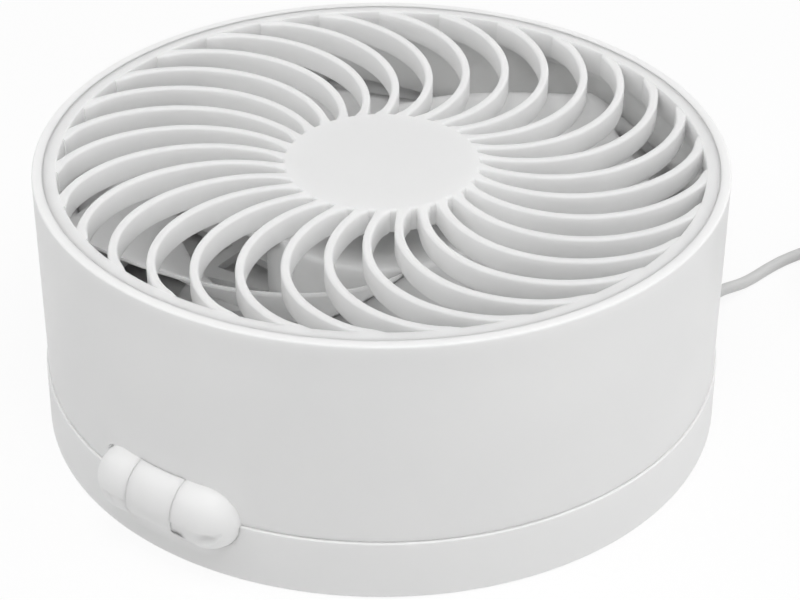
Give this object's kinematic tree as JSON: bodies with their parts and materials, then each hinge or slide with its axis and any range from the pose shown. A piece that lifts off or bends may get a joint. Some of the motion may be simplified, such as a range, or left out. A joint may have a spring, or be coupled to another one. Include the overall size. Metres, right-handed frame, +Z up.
{
  "type": "folding desk air circulator",
  "caption": "Round white fan drum with a spiral grille, folded flat on a thin round base by a tilt hinge, with a corded plug.",
  "frame": {"origin": "centre of the base's underside, on the floor", "axes": "+Z up and along the fan's spin axis when folded; the tilt hinge is on the -Y side with its axis along X; the button is on the +Y side"},
  "size_m": [0.2324, 0.2642, 0.076],
  "materials": {
    "satin_white": "satin, fine even grain",
    "lead_white": "smooth soft sheath, slight sheen",
    "pad_grey": "matt silicone",
    "dark_plastic": "matt moulded",
    "board_green": "coated circuit board",
    "plain_steel": "bright zinc-plated or ground steel",
    "copper_wire": "enamelled copper wire"
  },
  "bodies": {
    "base": {"base_shell": "satin_white", "base_lid": "satin_white", "anti_slip_pad": "pad_grey", "ballast_plate": "plain_steel", "base_screw_1": "plain_steel", "base_screw_2": "plain_steel", "base_screw_3": "plain_steel", "base_screw_4": "plain_steel", "control_board": "board_green", "switch_body": "dark_plastic", "hinge_pin": "plain_steel", "friction_washer_left": "plain_steel", "friction_washer_right": "plain_steel", "base_lead": "lead_white", "supply_lead": "lead_white", "strain_relief": "lead_white", "supply_cord": "lead_white", "cord_coil": "lead_white", "cord_tail": "lead_white", "cord_tie": "dark_plastic", "plug_moulding": "satin_white", "plug_shell": "plain_steel", "plug_tongue": "dark_plastic"},
    "drum": {"drum_shell": "satin_white", "front_grille": "satin_white", "rear_grille": "satin_white", "rear_screw_1": "plain_steel", "rear_screw_2": "plain_steel", "rear_screw_3": "plain_steel", "rear_screw_4": "plain_steel", "motor_mount": "satin_white", "motor_screw_1": "plain_steel", "motor_screw_2": "plain_steel", "motor_screw_3": "plain_steel", "motor_board": "board_green", "stator_core": "plain_steel", "stator_windings": "copper_wire", "bearing_rear": "plain_steel", "bearing_front": "plain_steel", "head_lead": "lead_white"},
    "rotor": {"motor_shaft": "plain_steel", "retaining_clip": "plain_steel", "rotor_cup": "plain_steel", "magnet_ring": "dark_plastic", "impeller": "satin_white"},
    "button": {"speed_button": "satin_white"}
  },
  "joints": [
    {"name": "drum_tilt", "type": "hinge", "parent": "base", "child": "drum", "pos_m": [0, -0.0902, 0.0175], "axis": [1, 0, 0], "range_deg": [0, 90]},
    {"name": "rotor_spin", "type": "hinge", "parent": "drum", "child": "rotor", "pos_m": [0, 0, 0.04], "axis": [0, 0, 1], "continuous": true},
    {"name": "button_press", "type": "slide", "parent": "base", "child": "button", "axis": [0, -1, 0], "range_m": [0, 0.0008], "stiffness_N_per_m": 900, "springref_m": -0.0006}
  ]
}
